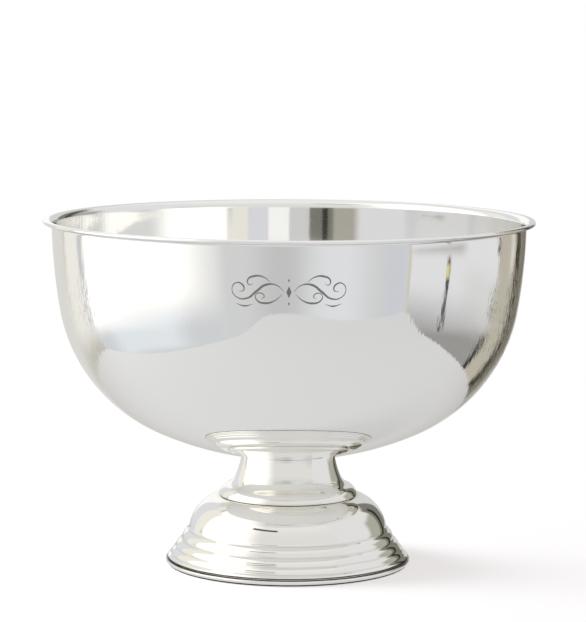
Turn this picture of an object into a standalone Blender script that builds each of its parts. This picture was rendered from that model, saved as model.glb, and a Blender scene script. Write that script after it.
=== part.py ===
"""Footed silver champagne bucket, as the spun shells and bolted hardware that the real piece is made of.

Metres, +Z up. Everything is turned about the Z axis, and the origin is the centre of the base at table level.
A wide spun bowl with a curled lip stands on a trumpet stem, which stands on a domed foot with stepped beads.
Inside the hollow foot a stud on the bowl passes through a bridge plate in the stem and is held by a nut.
"""

import math

import bpy

# ---- driving dimensions ------------------------------------------------------------------------------------

HEIGHT = 0.288             # table to the top of the lip
RIM_RADIUS = 0.203         # outside of the curled lip
FOOT_RADIUS = 0.102        # outside of the ring that the foot stands on
BOWL_SHEET = 0.0011        # thickness of the bowl's sheet
FOOT_SHEET = 0.0010        # thickness of the stem's and the foot's sheet
GAP = 0.0003               # clearance between pieces that touch on the real object

# bowl: three tangent arcs up its outer side, each with a radius and the slope where it ends
BOWL_BOTTOM = 0.0893       # height of the bowl's underside on the axis
BASIN_RADIUS = 0.26825     # shallow middle, centred on the axis
BASIN_SLOPE = 0.435        # radians from level
SHOULDER_RADIUS = 0.1348
SHOULDER_SLOPE = 1.407
WALL_RADIUS = 0.483
FLARE_RADIUS = 0.006       # inside radius of the turn-out below the lip
CURL_RADIUS = 0.00175      # outside radius of the curled edge
CURL_TURN = math.radians(270)

# stem: a trumpet whose skirt ends in a rounded step
STEM_TOP_RADIUS = 0.0389
STEM_FOOT_RADIUS = 0.0575
SKIRT_HEIGHT = 0.0576      # where the skirt sits on the dome

# foot: dome, three beads and a flare, down to the base ring
DOME_TOP = SKIRT_HEIGHT - GAP
COLLAR_RADIUS = 0.0500     # raised edge of the hole in the top of the dome
COLLAR_HEIGHT = 0.0035
RING_TOP = 0.0046
PAD_HEIGHT = 0.0008

# hardware on the axis
STUD_RADIUS = 0.0040
STUD_LENGTH = 0.0265
BOSS_RADIUS = 0.0280
BOSS_BOTTOM = 0.0835
BRIDGE_RADIUS = 0.0386
BRIDGE_THICKNESS = 0.0030
WASHER_RADIUS = 0.0120
WASHER_THICKNESS = 0.0016
LOCK_WASHER_RADIUS = 0.0070
LOCK_WASHER_THICKNESS = 0.0021
LOCK_WASHER_SPLIT = 0.0016
NUT_ACROSS_FLATS = 0.0130
NUT_HEIGHT = 0.0065
NUT_CHAMFER = math.radians(30)

SHELL_STEPS = 48           # facets round the shells
SMALL_STEPS = 24           # facets round the hardware
MERGE = 0.000001

SILVER = (0.86, 0.85, 0.82)
CLOUDED_SILVER = (0.84, 0.84, 0.82)
BRASS = (0.72, 0.55, 0.27)
STEEL = (0.56, 0.57, 0.58)
RUBBER = (0.06, 0.06, 0.06)


# ---- outlines ----------------------------------------------------------------------------------------------

def turn(centre, radius, start, end, steps):
    """Points (radius from the axis, height) round an arc, from one angle to another, both included."""
    angles = [start + (end - start) * i / steps for i in range(steps + 1)]
    return [(centre[0] + radius * math.cos(a), centre[1] + radius * math.sin(a)) for a in angles]


def sweep(start, end, bulge, steps):
    """Points after start along the arc to end. bulge is the arc's height over half of its chord,
    below zero where the arc bows away from the axis on the way down."""
    half_x = (end[0] - start[0]) / 2
    half_z = (end[1] - start[1]) / 2
    reach = (1 - bulge * bulge) / (2 * bulge)
    centre = (start[0] + half_x - half_z * reach, start[1] + half_z + half_x * reach)
    angle = 4 * math.atan(bulge)
    arm = (start[0] - centre[0], start[1] - centre[1])
    points = []
    for i in range(1, steps + 1):
        c = math.cos(angle * i / steps)
        s = math.sin(angle * i / steps)
        points.append((centre[0] + arm[0] * c - arm[1] * s, centre[1] + arm[0] * s + arm[1] * c))
    return points


def path(start, *legs):
    """An outline from a start point and legs of (end, bulge, steps). A straight leg has bulge 0."""
    points = [start]
    for end, bulge, steps in legs:
        points += sweep(points[-1], end, bulge, steps) if bulge else [end]
    return points


def underside(radius):
    """Height of the bowl's outer side over a point this far from the axis, inside the basin."""
    return BOWL_BOTTOM + BASIN_RADIUS - math.sqrt(BASIN_RADIUS ** 2 - radius ** 2)


def bowl_outline():
    """The side of the bowl's sheet that faces the contents, from the end of the curl to the axis."""
    basin = (0.0, BOWL_BOTTOM + BASIN_RADIUS)
    reach = BASIN_RADIUS - SHOULDER_RADIUS
    shoulder = (basin[0] + reach * math.sin(BASIN_SLOPE), basin[1] - reach * math.cos(BASIN_SLOPE))
    reach = SHOULDER_RADIUS - WALL_RADIUS
    wall = (shoulder[0] + reach * math.sin(SHOULDER_SLOPE), shoulder[1] - reach * math.cos(SHOULDER_SLOPE))

    # the wall stops where the flare takes over, which ends level, one flare radius up
    flare_bottom = HEIGHT - FLARE_RADIUS
    wall_inside = WALL_RADIUS - BOWL_SHEET
    wall_end = math.asin((flare_bottom - wall[1]) / wall_inside)
    wall_top = wall[0] + wall_inside * math.cos(wall_end)
    flare = (wall_top + FLARE_RADIUS * math.cos(wall_end), flare_bottom)

    curl = (RIM_RADIUS - CURL_RADIUS, HEIGHT - CURL_RADIUS)
    quarter = math.pi / 2
    points = turn(curl, CURL_RADIUS, quarter - CURL_TURN, quarter, 6)
    points += turn(flare, FLARE_RADIUS, quarter, math.pi, 5)
    points += turn(wall, wall_inside, wall_end, SHOULDER_SLOPE - quarter, 3)[1:]
    points += turn(shoulder, SHOULDER_RADIUS - BOWL_SHEET, SHOULDER_SLOPE - quarter, BASIN_SLOPE - quarter, 9)[1:]
    points += turn(basin, BASIN_RADIUS - BOWL_SHEET, BASIN_SLOPE - quarter, -quarter, 5)[1:]
    points[-1] = (0.0, BOWL_BOTTOM + BOWL_SHEET)
    return points


def stem_outline():
    """Outer side of the stem, from just under the bowl to the edge of its skirt."""
    top = (STEM_TOP_RADIUS, underside(STEM_TOP_RADIUS) - GAP)
    return path(
        top,
        ((0.0445, 0.0716), 0.098, 3),
        ((0.0520, 0.0655), 0.156, 3),
        ((STEM_FOOT_RADIUS, SKIRT_HEIGHT), -0.257, 4),
    )


def foot_outline():
    """Outer side of the foot: collar, shoulder, dome, three beads and the flare over the base ring."""
    return path(
        (COLLAR_RADIUS, DOME_TOP + COLLAR_HEIGHT),
        ((COLLAR_RADIUS, DOME_TOP), 0, 1),
        ((0.0585, DOME_TOP - 0.0002), 0, 1),
        ((0.0745, 0.0474), -0.160, 3),
        ((0.0827, 0.0288), -0.139, 3),
        ((0.0882, 0.0206), -0.293, 4),
        ((0.0935, 0.0141), -0.220, 3),
        ((0.0973, 0.0087), -0.200, 3),
        ((0.1005, 0.0057), -0.143, 2),
    )


# ---- building blocks ---------------------------------------------------------------------------------------

def material(name, colour, roughness, metallic):
    finish = bpy.data.materials.new(name)
    finish.use_nodes = True
    shader = finish.node_tree.nodes["Principled BSDF"]
    shader.inputs["Base Color"].default_value = (*colour, 1.0)
    shader.inputs["Roughness"].default_value = roughness
    shader.inputs["Metallic"].default_value = metallic
    return finish


def turned(name, outline, closed, steps, finish, group, sheet=0.0, outward=False):
    """Turns an outline about Z. An open outline becomes a shell of that sheet thickness."""
    mesh = bpy.data.meshes.new(name)
    edges = [(i, i + 1) for i in range(len(outline) - 1)]
    if closed:
        edges.append((len(outline) - 1, 0))
    mesh.from_pydata([(radius, 0.0, height) for radius, height in outline], edges, [])
    mesh.materials.append(finish)
    body = bpy.data.objects.new(name, mesh)
    group.objects.link(body)

    screw = body.modifiers.new("turn", "SCREW")
    screw.axis = "Z"
    screw.steps = steps
    screw.render_steps = steps
    screw.use_merge_vertices = True
    screw.merge_threshold = MERGE
    if sheet:
        wall = body.modifiers.new("sheet", "SOLIDIFY")
        wall.thickness = sheet
        wall.offset = 1.0 if outward else -1.0
        wall.use_even_offset = True
    return body


def disc(name, outer, hole, top, thickness, steps, finish, group):
    """A flat ring. Its outline runs down the outer side and back up the hole."""
    outline = [(outer, top), (outer, top - thickness), (hole, top - thickness), (hole, top)]
    return turned(name, outline, True, steps, finish, group)


def boolean(body, cutter, operation):
    cut = body.modifiers.new(cutter.name, "BOOLEAN")
    cut.operation = operation
    cut.object = cutter
    cutter.hide_render = True
    cutter.display_type = "WIRE"


# ---- the pieces --------------------------------------------------------------------------------------------

def make_bowl(finish, group):
    turned("bowl", bowl_outline(), False, SHELL_STEPS, finish, group, BOWL_SHEET, outward=True)


def make_stem(finish, group):
    turned("stem", stem_outline(), False, SHELL_STEPS, finish, group, FOOT_SHEET)


def make_foot(finish, group):
    turned("foot_dome", foot_outline(), False, SHELL_STEPS, finish, group, FOOT_SHEET)


def make_base_ring(finish, group):
    """Half-round ring under the flare, which carries the weight through the pad below it."""
    bottom = PAD_HEIGHT + GAP
    face = FOOT_RADIUS - 0.0014
    bulge = -(FOOT_RADIUS - face) * 2 / (RING_TOP - bottom)
    outline = path((face, RING_TOP), ((face, bottom), bulge, 6))
    outline += [(face - 0.0024, bottom), (face - 0.0024, RING_TOP)]
    turned("base_ring", outline, True, SHELL_STEPS, finish, group)


def make_base_pad(finish, group):
    """Thin rubber ring glued under the base ring, which keeps the metal off the table."""
    disc("base_pad", FOOT_RADIUS - 0.0018, FOOT_RADIUS - 0.0036, PAD_HEIGHT, PAD_HEIGHT, SHELL_STEPS, finish, group)


def make_boss(finish, group):
    """Thick disc brazed under the bowl. Its top follows the bowl and its middle holds the stud."""
    hole = STUD_RADIUS + GAP
    steps = 3
    radii = [hole + (BOSS_RADIUS - hole) * i / steps for i in range(steps + 1)]
    outline = [(radius, underside(radius) - GAP) for radius in radii]
    outline += [(BOSS_RADIUS, BOSS_BOTTOM), (hole, BOSS_BOTTOM)]
    turned("boss_plate", outline, True, SMALL_STEPS, finish, group)


def make_stud(finish, group):
    """M8 stud fixed in the boss, drawn at its outer thread diameter, with both ends chamfered."""
    top = BOWL_BOTTOM - 2 * GAP
    bottom = top - STUD_LENGTH
    chamfer = 0.0008
    outline = [
        (0.0, top),
        (STUD_RADIUS - chamfer, top),
        (STUD_RADIUS, top - chamfer),
        (STUD_RADIUS, bottom + chamfer),
        (STUD_RADIUS - chamfer, bottom),
        (0.0, bottom),
    ]
    turned("mount_stud", outline, False, SMALL_STEPS, finish, group)


def make_bridge(top, finish, group):
    """Disc brazed inside the stem, clamped between the boss above and the washers below."""
    disc("bridge_plate", BRIDGE_RADIUS, STUD_RADIUS + GAP, top, BRIDGE_THICKNESS, SHELL_STEPS, finish, group)
    return top - BRIDGE_THICKNESS - GAP


def make_flat_washer(top, finish, group):
    disc("flat_washer", WASHER_RADIUS, STUD_RADIUS + GAP, top, WASHER_THICKNESS, SMALL_STEPS, finish, group)
    return top - WASHER_THICKNESS - GAP


def make_lock_washer(top, finish, group, cutters):
    """Split spring washer: a square-section ring cut through on the slant."""
    ring = disc("lock_washer", LOCK_WASHER_RADIUS, STUD_RADIUS + GAP, top, LOCK_WASHER_THICKNESS,
                SMALL_STEPS, finish, group)
    bpy.ops.mesh.primitive_cube_add(size=1.0)
    slit = bpy.context.object
    slit.name = "lock_washer_split"
    slit.dimensions = (LOCK_WASHER_RADIUS, LOCK_WASHER_SPLIT, 4 * LOCK_WASHER_THICKNESS)
    slit.location = (LOCK_WASHER_RADIUS * 0.85, 0.0, top - LOCK_WASHER_THICKNESS / 2)
    slit.rotation_euler = (math.radians(35), 0.0, 0.0)
    move_to(slit, cutters)
    boolean(ring, slit, "DIFFERENCE")
    return top - LOCK_WASHER_THICKNESS - GAP


def make_nut(top, finish, group, cutters):
    """Hexagon nut, its corners chamfered by a double cone and its middle bored for the stud."""
    corner = NUT_ACROSS_FLATS / math.sqrt(3)
    flat = NUT_ACROSS_FLATS / 2
    bpy.ops.mesh.primitive_cylinder_add(vertices=6, radius=corner, depth=NUT_HEIGHT, end_fill_type="NGON")
    nut = bpy.context.object
    nut.name = "hex_nut"
    nut.location = (0.0, 0.0, top - NUT_HEIGHT / 2)
    nut.data.materials.clear()
    nut.data.materials.append(finish)
    move_to(nut, group)

    clear = 0.0005
    spread = corner + clear
    rise = (spread - flat) * math.tan(NUT_CHAMFER)
    tip = flat * math.tan(NUT_CHAMFER)
    outline = [
        (0.0, top + tip),
        (spread, top - rise),
        (spread, top - NUT_HEIGHT + rise),
        (0.0, top - NUT_HEIGHT - tip),
    ]
    cone = turned("hex_nut_chamfer", outline, False, SMALL_STEPS * 2, finish, cutters)
    boolean(nut, cone, "INTERSECT")

    bore = turned("hex_nut_bore", [
        (0.0, top + clear * 4),
        (STUD_RADIUS + GAP, top + clear * 4),
        (STUD_RADIUS + GAP, top - NUT_HEIGHT - clear * 4),
        (0.0, top - NUT_HEIGHT - clear * 4),
    ], False, SMALL_STEPS, finish, cutters)
    boolean(nut, bore, "DIFFERENCE")


def move_to(body, group):
    for owner in list(body.users_collection):
        owner.objects.unlink(body)
    group.objects.link(body)


# ---- the whole bucket --------------------------------------------------------------------------------------

def main():
    for old in list(bpy.data.objects):
        bpy.data.objects.remove(old)

    bucket = bpy.data.collections.new("champagne_bucket")
    cutters = bpy.data.collections.new("cutters")
    bpy.context.scene.collection.children.link(bucket)
    bpy.context.scene.collection.children.link(cutters)

    bowl_silver = material("bowl_silver", CLOUDED_SILVER, 0.16, 1.0)
    foot_silver = material("foot_silver", SILVER, 0.06, 1.0)
    bare_brass = material("bare_brass", BRASS, 0.35, 1.0)
    zinc_steel = material("zinc_steel", STEEL, 0.38, 1.0)
    black_rubber = material("black_rubber", RUBBER, 0.70, 0.0)

    make_bowl(bowl_silver, bucket)
    make_stem(foot_silver, bucket)
    make_foot(foot_silver, bucket)
    make_base_ring(foot_silver, bucket)
    make_base_pad(black_rubber, bucket)
    make_boss(bare_brass, bucket)
    make_stud(zinc_steel, bucket)

    level = make_bridge(BOSS_BOTTOM - GAP, bare_brass, bucket)
    level = make_flat_washer(level, zinc_steel, bucket)
    level = make_lock_washer(level, zinc_steel, bucket, cutters)
    make_nut(level, zinc_steel, bucket, cutters)


main()
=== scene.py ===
# %% [markdown]
# A footed champagne bucket in polished silver: a wide spun bowl on a trumpet stem and a stepped, domed foot.
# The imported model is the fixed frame. It gives the size and place of every piece, so no piece is fitted by eye:
# each fine piece is drawn again from the same driving sizes and stands where its plain one stood.

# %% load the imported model
import math

import bpy
from mathutils import Matrix, Vector


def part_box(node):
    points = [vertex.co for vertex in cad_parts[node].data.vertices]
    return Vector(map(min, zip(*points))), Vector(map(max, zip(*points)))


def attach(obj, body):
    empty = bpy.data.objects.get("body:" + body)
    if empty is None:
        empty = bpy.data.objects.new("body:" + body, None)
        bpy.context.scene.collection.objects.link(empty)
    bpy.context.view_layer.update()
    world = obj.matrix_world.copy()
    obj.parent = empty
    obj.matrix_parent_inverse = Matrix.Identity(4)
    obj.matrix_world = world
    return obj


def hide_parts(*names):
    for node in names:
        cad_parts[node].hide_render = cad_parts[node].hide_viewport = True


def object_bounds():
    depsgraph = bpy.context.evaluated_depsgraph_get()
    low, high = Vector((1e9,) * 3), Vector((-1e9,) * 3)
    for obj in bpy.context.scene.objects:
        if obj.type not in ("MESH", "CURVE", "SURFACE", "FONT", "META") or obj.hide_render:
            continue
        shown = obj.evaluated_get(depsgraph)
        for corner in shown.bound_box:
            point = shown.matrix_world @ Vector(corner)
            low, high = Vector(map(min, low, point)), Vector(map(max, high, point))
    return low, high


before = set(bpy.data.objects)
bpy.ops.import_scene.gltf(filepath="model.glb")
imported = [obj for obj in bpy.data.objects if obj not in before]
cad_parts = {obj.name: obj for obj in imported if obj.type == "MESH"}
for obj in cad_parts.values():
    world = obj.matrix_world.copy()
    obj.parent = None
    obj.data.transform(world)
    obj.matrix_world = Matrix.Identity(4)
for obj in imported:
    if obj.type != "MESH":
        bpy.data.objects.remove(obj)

cad_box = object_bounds()
print("packed pieces:", ", ".join(sorted(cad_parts)))

# %% driving sizes, in metres
HEIGHT = cad_box[1].z
RIM_RADIUS = cad_box[1].x
FOOT_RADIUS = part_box("base_ring")[1].x
BOWL_SHEET = 0.0011
FOOT_SHEET = 0.0010
GAP = 0.0003
# the corners, as (distance from the axis, height), where the skirt sits on the dome and the beads meet
STEM_FOOT = (0.0575, 0.0576)
BEAD_GROOVES = [(0.0827, 0.0288), (0.0882, 0.0206), (0.0935, 0.0141), (0.0973, 0.0087)]
print("height", round(HEIGHT, 4), "rim radius", round(RIM_RADIUS, 4), "foot radius", round(FOOT_RADIUS, 4))

# %% [markdown]
# ## The view
# A long lens well back from the bucket keeps its sides nearly parallel, as product pictures do. The camera
# stands a little above the rim and tips down a few degrees, so the lip shows as a thin ellipse.

# %% camera
CAMERA_PLACE = Vector((0.0, -2.28, 0.4815))
CAMERA_PITCH = 0.1182          # radians below level
CAMERA_YAW = -math.radians(0.087)
CAMERA_ROLL = math.radians(0.3)

lens = bpy.data.cameras.new("bucket_camera")
lens.sensor_width = 36.0
lens.lens = 160.3
camera = bpy.data.objects.new("bucket_camera", lens)
bpy.context.scene.collection.objects.link(camera)
aim = (Matrix.Rotation(CAMERA_YAW, 3, "Z") @ Matrix.Rotation(math.pi / 2 - CAMERA_PITCH, 3, "X")
       @ Matrix.Rotation(CAMERA_ROLL, 3, "Z"))
camera.location = CAMERA_PLACE
camera.rotation_euler = aim.to_euler()
bpy.context.scene.camera = camera
bpy.context.scene.view_settings.view_transform = "Standard"
bpy.context.scene.cycles.glossy_bounces = 10     # light crosses the inside of the bowl many times
print("camera", round(CAMERA_PLACE.length, 2), "m from the foot's centre")

# %% [markdown]
# ## The studio
# Polished silver has no colour pattern of its own: what one sees is the room. So the room is drawn with care.
# It could be built from real cards and walls, but those would stand between the bucket and a camera that looks
# from another side. A world shader puts them at a distance instead: each card is a soft-edged patch of
# brightness between two compass angles and two heights. Compass angle 0 is the camera's side and grows to the
# right. Each card was set from the direction that a place on the bowl or the foot mirrors. The camera
# itself is shown a plain white backdrop, by a Light Path node, so the cards show only in reflections.

# %% studio: compass angle and height of each direction
studio = bpy.data.worlds.new("studio")
bpy.context.scene.world = studio
studio.use_nodes = True
wires = studio.node_tree
wires.nodes.clear()


def math_node(tree, operation, *values, clamp=False):
    """A Math node. Each value is a number or another node's output."""
    node = tree.nodes.new("ShaderNodeMath")
    node.operation = operation
    node.use_clamp = clamp
    for socket, value in zip(node.inputs, values):
        if isinstance(value, (int, float)):
            socket.default_value = value
        else:
            tree.links.new(value, socket)
    return node.outputs[0]


def ramp_node(tree, value, low, high):
    """0 below low, 1 above high, and a smooth step between them."""
    node = tree.nodes.new("ShaderNodeMapRange")
    node.interpolation_type = "SMOOTHSTEP"
    tree.links.new(value, node.inputs["Value"])
    node.inputs["From Min"].default_value = low
    node.inputs["From Max"].default_value = high
    return node.outputs["Result"]


def blend_node(tree, amount, under, over):
    """Puts one colour over another by an amount from 0 to 1."""
    node = tree.nodes.new("ShaderNodeMix")
    node.data_type = "RGBA"
    sockets = [s for s in node.inputs if s.type == "RGBA"]
    for socket, value in zip([node.inputs["Factor"], *sockets], (amount, under, over)):
        if isinstance(value, (int, float, tuple)):
            socket.default_value = value
        else:
            tree.links.new(value, socket)
    return [s for s in node.outputs if s.type == "RGBA"][0]


look = wires.nodes.new("ShaderNodeTexCoord")
axes = wires.nodes.new("ShaderNodeSeparateXYZ")
wires.links.new(look.outputs["Generated"], axes.inputs[0])
toward_camera = math_node(wires, "MULTIPLY", axes.outputs["Y"], -1.0)
bearing = math_node(wires, "ARCTAN2", axes.outputs["X"], toward_camera)
compass = math_node(wires, "MULTIPLY", bearing, 180 / math.pi)
rise = math_node(wires, "MULTIPLY", math_node(wires, "ARCSINE", axes.outputs["Z"]), 180 / math.pi)
print("studio directions ready")

# %% studio: walls and cards
WALL = (0.75, 0.75, 0.74, 1.0)
CEILING = (0.86, 0.86, 0.86, 1.0)
# each card: compass from, to, edge softness; height from, to, edge softness; colour. Later cards lie on top.
CARDS = [
    # behind the camera: a wall with a darker middle, where the camera stands
    ((-33, 60, 4), (-90, 2, 5), (0.65, 0.66, 0.66)),
    ((-14, 6, 9), (-90, 2, 5), (0.55, 0.56, 0.56)),
    ((12, 36, 10), (-90, 2, 5), (0.75, 0.76, 0.79)),
    ((46, 60, 5), (-90, 6, 10), (0.62, 0.63, 0.68)),
    # right: a lighter wall past the corner, its floor dark below it, and a light stand in front
    ((60, 124, 0.8), (-90, 50, 8), (0.77, 0.77, 0.79)),
    ((95, 124, 9), (-90, -11, 2), (0.70, 0.70, 0.70)),
    ((60, 180, 1), (-90, -19, 6), (0.33, 0.32, 0.31)),
    ((59.2, 60.4, 0.3), (-20, 2, 2), (0.62, 0.59, 0.44)),
    ((81.9, 83.8, 0.6), (-22, -9.5, 0.8), (0.06, 0.06, 0.07)),
    ((81.6, 83.4, 0.3), (-12.8, -10.6, 0.5), (0.72, 0.64, 0.25)),
    ((61, 93, 4), (-8.8, -3, 1.2), (0.50, 0.49, 0.48)),
    # right and back: cream panel with a dark edge, and a brown doorway
    ((122, 144, 1), (-36, 22, 6), (0.50, 0.47, 0.39)),
    ((120.5, 122.5, 0.5), (-8.3, -6.8, 0.3), (0.02, 0.02, 0.02)),
    ((120, 122.3, 0.6), (-15.5, -12.0, 1), (0.16, 0.15, 0.13)),
    ((119.5, 124.5, 1), (-36, -20, 2), (0.05, 0.045, 0.04)),
    ((136, 141, 1.5), (-9, -5, 1), (0.70, 0.67, 0.60)),
    ((143, 152, 1.5), (-36, 16, 6), (0.06, 0.055, 0.04)),
    ((152, 168, 2), (-36, 12, 6), (0.21, 0.19, 0.14)),
    ((160, 178, 2), (-40, -14, 2), (0.42, 0.41, 0.40)),
    # back: a plain wall
    ((170, 180, 2), (-24, 50, 8), (0.74, 0.73, 0.71)),
    # left and back: panels beside the soft light
    ((-180, -117, 1), (-90, -20, 6), (0.56, 0.54, 0.48)),
    ((-180, -141, 2), (-18, 50, 6), (0.72, 0.71, 0.68)),
    ((-141, -139.6, 0.5), (-14, 4, 3), (0.58, 0.55, 0.40)),
    ((-139, -117, 1), (-20, 50, 5), (0.88, 0.86, 0.80)),
    ((-123, -118.5, 1.5), (-18, 4, 3), (0.58, 0.58, 0.61)),
    # left: pale cloth under the soft light, then the soft light with its dark top bar
    ((-117, -28, 4, 9), (-90, -20, 4), (0.64, 0.66, 0.68)),
    ((-104, -56, 9), (-33, -18, 3), (0.78, 0.82, 0.86)),
    ((-117, -46, 2, 17), (-19, 62, 5), (1.25, 1.24, 1.20)),
    ((-50, -14, 2), (40, 44, 1), (0.08, 0.07, 0.05)),
    # above the bowl's own view, where the foot sees: open doors on the right, windows on the left
    ((112, 138, 5), (-3, 22, 4), (0.42, 0.41, 0.36)),
    ((136, 159, 2), (-3, 32, 3), (0.20, 0.20, 0.17)),
    ((141.5, 147, 1), (-5, 24, 2), (0.035, 0.035, 0.03)),
    ((160, 180, 1), (-3, 40, 3), (0.66, 0.67, 0.67)),
    ((-158, -139, 2), (-2, 40, 3), (0.74, 0.75, 0.80)),
    ((-180, -159, 1), (-2, 40, 3), (1.0, 1.0, 0.99)),
]


def edges_mask(tree, value, span):
    """1 inside a span of degrees, with a soft fall to 0 at each end. A fourth number softens the high end."""
    low, high, soft = span[:3]
    soft_high = span[-1]
    rising = ramp_node(tree, value, low - soft, low + soft)
    falling = ramp_node(tree, value, high - soft_high, high + soft_high)
    return math_node(tree, "MULTIPLY", rising, math_node(tree, "SUBTRACT", 1.0, falling))


room = blend_node(wires, ramp_node(wires, rise, 20, 70), WALL, CEILING)
for across, up, colour in CARDS:
    patch = math_node(wires, "MULTIPLY", edges_mask(wires, compass, across), edges_mask(wires, rise, up))
    room = blend_node(wires, patch, room, (*colour, 1.0))

BACKDROP = (1.0, 1.0, 1.0, 1.0)
rays = wires.nodes.new("ShaderNodeLightPath")
seen = blend_node(wires, rays.outputs["Is Camera Ray"], room, BACKDROP)
glow = wires.nodes.new("ShaderNodeBackground")
wires.links.new(seen, glow.inputs["Color"])
world_out = wires.nodes.new("ShaderNodeOutputWorld")
wires.links.new(glow.outputs[0], world_out.inputs["Surface"])
print(len(CARDS), "cards in the studio")

# %% [markdown]
# ## The table
# A plain pale table top, not square to the camera. Its edges matter: the bowl's side shows the table only up
# to them, and the room beyond. It could be a flat plane for ever, but then half of the bowl would show nothing
# else. Seen straight on, the table is exposed to white, so only the soft shadow shows. What the silver sees of
# it is darker, as in a picture whose backdrop is lit by itself: the Light Path node tells the two apart.

# %% helper: select in code
def clear_selection():
    if bpy.context.mode != "OBJECT":
        bpy.ops.object.mode_set(mode="OBJECT")
    bpy.ops.object.select_all(action="DESELECT")


def select_points(piece, wanted):
    """Enters edit mode with only the points that pass the test selected."""
    bpy.context.view_layer.objects.active = piece
    bpy.ops.object.mode_set(mode="EDIT")
    bpy.ops.mesh.select_mode(type="VERT")
    bpy.ops.mesh.select_all(action="DESELECT")
    bpy.ops.object.mode_set(mode="OBJECT")
    for point in piece.data.vertices:
        point.select = wanted(point.co)
    bpy.ops.object.mode_set(mode="EDIT")


# %% table top
# each corner: across, away from the camera, and how far its rounding reaches
TABLE_CORNERS = [(-0.13, -0.78, 0.08), (0.08, -0.775, 0.08), (0.67, -0.495, 0.05),
                 (0.17, 0.42, 0.10), (-0.16, 0.42, 0.05), (-0.50, 0.07, 0.05)]
TABLE_LEVEL = -0.0002
CORNER_STEPS = 8
SAME_POINT = 0.001

clear_selection()
bpy.ops.mesh.primitive_circle_add(vertices=len(TABLE_CORNERS), radius=1.0, fill_type="NGON",
                                  location=(0, 0, TABLE_LEVEL))
table = bpy.context.object
table.name = "table"
bpy.ops.object.transform_apply(location=True, rotation=True, scale=True)
for start, (across, away, _) in zip([point.co.copy() for point in table.data.vertices], TABLE_CORNERS):
    select_points(table, lambda co: (co - start).length < SAME_POINT)
    bpy.ops.transform.translate(value=(across - start.x, away - start.y, 0.0))
    bpy.ops.object.mode_set(mode="OBJECT")
for across, away, rounding in TABLE_CORNERS:
    corner = Vector((across, away, TABLE_LEVEL))
    select_points(table, lambda co: (co - corner).length < SAME_POINT)
    bpy.ops.mesh.bevel(offset=rounding, segments=CORNER_STEPS, affect="VERTICES")
    bpy.ops.object.mode_set(mode="OBJECT")
select_points(table, lambda co: True)
bpy.ops.mesh.normals_make_consistent(inside=False)
bpy.ops.object.mode_set(mode="OBJECT")
print("table", [round(v, 2) for v in table.dimensions])

# %% table finish
# two tones: what the table throws back of the lamp, and a glow that stands for the light on the backdrop
chalk = bpy.data.materials.new("chalk_white_table")
chalk.use_nodes = True
tree = chalk.node_tree
paint = tree.nodes["Principled BSDF"]
paint.inputs["Roughness"].default_value = 0.8
paint.inputs["Specular IOR Level"].default_value = 0.0
paint.inputs["Emission Strength"].default_value = 1.0
rays = tree.nodes.new("ShaderNodeLightPath")
where = tree.nodes.new("ShaderNodeTexCoord")
ways = tree.nodes.new("ShaderNodeSeparateXYZ")
tree.links.new(where.outputs["Object"], ways.inputs[0])
# painted shade: what the silver sees of the table glows darker towards the back, where the bowl's shadow falls
far_shade_mask = ramp_node(tree, ways.outputs["Y"], -0.10, 0.28)
mirrored_glow_and_shade = blend_node(tree, far_shade_mask, (0.60, 0.598, 0.60, 1.0), (0.46, 0.45, 0.43, 1.0))
own_tone = blend_node(tree, rays.outputs["Is Camera Ray"], (0.07, 0.07, 0.071, 1.0), (0.24, 0.25, 0.26, 1.0))
glow_tone = blend_node(tree, rays.outputs["Is Camera Ray"], mirrored_glow_and_shade, (0.64, 0.61, 0.60, 1.0))
tree.links.new(own_tone, paint.inputs["Base Color"])
tree.links.new(glow_tone, paint.inputs["Emission Color"])
table.data.materials.append(chalk)
print("finish", chalk.name)

# %% [markdown]
# A soft lamp on the left, a little behind the bucket, lights the table and throws the faint shadow to the
# right. It is hidden from reflections, because the studio's own card already stands there.

# %% soft lamp
LAMP_SIDE = 0.8
LAMP_PLACE = (-1.32, 0.33, 0.72)
lamp = bpy.data.lights.new("soft_lamp", "AREA")
lamp.shape = "RECTANGLE"
lamp.size = LAMP_SIDE
lamp.size_y = LAMP_SIDE
lamp.energy = 60.0
lamp_stand = bpy.data.objects.new("soft_lamp", lamp)
bpy.context.scene.collection.objects.link(lamp_stand)
lamp_stand.location = LAMP_PLACE
lamp_stand.rotation_euler = (-lamp_stand.location).to_track_quat("-Z", "Y").to_euler()
lamp_stand.visible_glossy = False
lamp_stand.visible_camera = False
print("lamp", lamp.energy, "W")

# %% [markdown]
# ## Silver
# Polished silver is a nearly perfect mirror, slightly warm, and warmer with each bounce of light. What tells
# the eye that it is a real surface is small: fine lines from the spinning lathe and the polishing wheel, a
# little tarnish in the corners that a cloth doesn't reach, with painted shade in the same corners, and, on a
# bowl full of ice, tiny beads of water. Each of these is a node group that gives out a height or a mask, and
# each finish takes its own amounts.

# %% helper: start a node group
def new_effect(name, inputs, outputs):
    """An empty group with number sockets. Inputs are (name, value)."""
    group = bpy.data.node_groups.new(name, "ShaderNodeTree")
    for label, value in inputs:
        socket = group.interface.new_socket(label, in_out="INPUT", socket_type="NodeSocketFloat")
        socket.default_value = value
    for label in outputs:
        group.interface.new_socket(label, in_out="OUTPUT", socket_type="NodeSocketFloat")
    return group, group.nodes.new("NodeGroupInput").outputs, group.nodes.new("NodeGroupOutput").inputs


def noise_node(tree, vector, scale, detail, roughness=0.5):
    node = tree.nodes.new("ShaderNodeTexNoise")
    tree.links.new(vector, node.inputs["Vector"])
    for label, value in (("Scale", scale), ("Detail", detail), ("Roughness", roughness)):
        if isinstance(value, (int, float)):
            node.inputs[label].default_value = value
        else:
            tree.links.new(value, node.inputs[label])
    return node.outputs["Fac"]


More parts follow.
